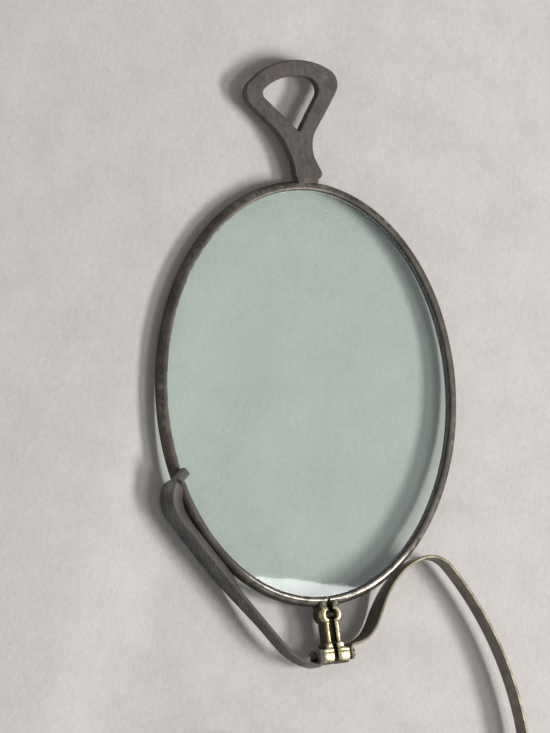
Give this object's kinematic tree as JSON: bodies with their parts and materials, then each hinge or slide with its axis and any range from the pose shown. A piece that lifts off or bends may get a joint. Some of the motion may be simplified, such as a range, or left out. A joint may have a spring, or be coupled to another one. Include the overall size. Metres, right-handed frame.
{
  "type": "pince-nez",
  "caption": "Spring-bridge pince-nez with oval lenses in split eyewires, brass joints, knurled nose pads, a flat bow spring and a loop handle for a cord.",
  "frame": {"origin": "on the lower edge of the bow spring, in the middle of its crown", "axes": "+X along the pair from the handle's side to the other lens, +Y up as worn, +Z off the table towards the wearer's side"},
  "size_m": [0.1061, 0.0481, 0.0037],
  "materials": {
    "lens_glass": "pale blue-green, dusty, with fine scratches",
    "rim_steel": "dark brown-grey patina, worn bright in lines",
    "screw_steel": "dark, satin",
    "pad_steel": "dark grey, knurled",
    "joint_brass": "bright on the high spots, dark in the corners",
    "spring_metal": "grey-olive faces, bright edges",
    "rusted_steel": "matt dark red-brown rust"
  },
  "bodies": {
    "left_half": {"left_lens": "lens_glass", "left_rim": "rim_steel", "left_upper_post": "joint_brass", "left_lower_post": "joint_brass", "left_closing_screw": "screw_steel", "left_pad_screw": "screw_steel", "left_spring_screw": "screw_steel", "handle": "rusted_steel", "bow_spring": "spring_metal"},
    "right_half": {"right_lens": "lens_glass", "right_rim": "rim_steel", "right_upper_post": "joint_brass", "right_lower_post": "joint_brass", "right_closing_screw": "screw_steel", "right_pad_screw": "screw_steel", "right_spring_screw": "screw_steel"},
    "left_pad": {"left_nose_pad": "pad_steel"},
    "right_pad": {"right_nose_pad": "pad_steel"}
  },
  "joints": [
    {"name": "bow_flex", "type": "hinge", "parent": "left_half", "child": "right_half", "pos_m": [0, 0, 0], "axis": [0, 0, 1], "range_deg": [-8, 24], "stiffness_Nm_per_rad": 0.011, "deforming": ["bow_spring"]},
    {"name": "left_pad_rock", "type": "hinge", "parent": "left_half", "child": "left_pad", "pos_m": [-0.00551, -0.02359, 0.001], "axis": [-0.4362, 0.8998, 0], "range_deg": [0, 8]},
    {"name": "right_pad_rock", "type": "hinge", "parent": "right_half", "child": "right_pad", "pos_m": [0.00551, -0.02359, 0.001], "axis": [-0.4362, -0.8998, 0], "range_deg": [0, 8]}
  ]
}
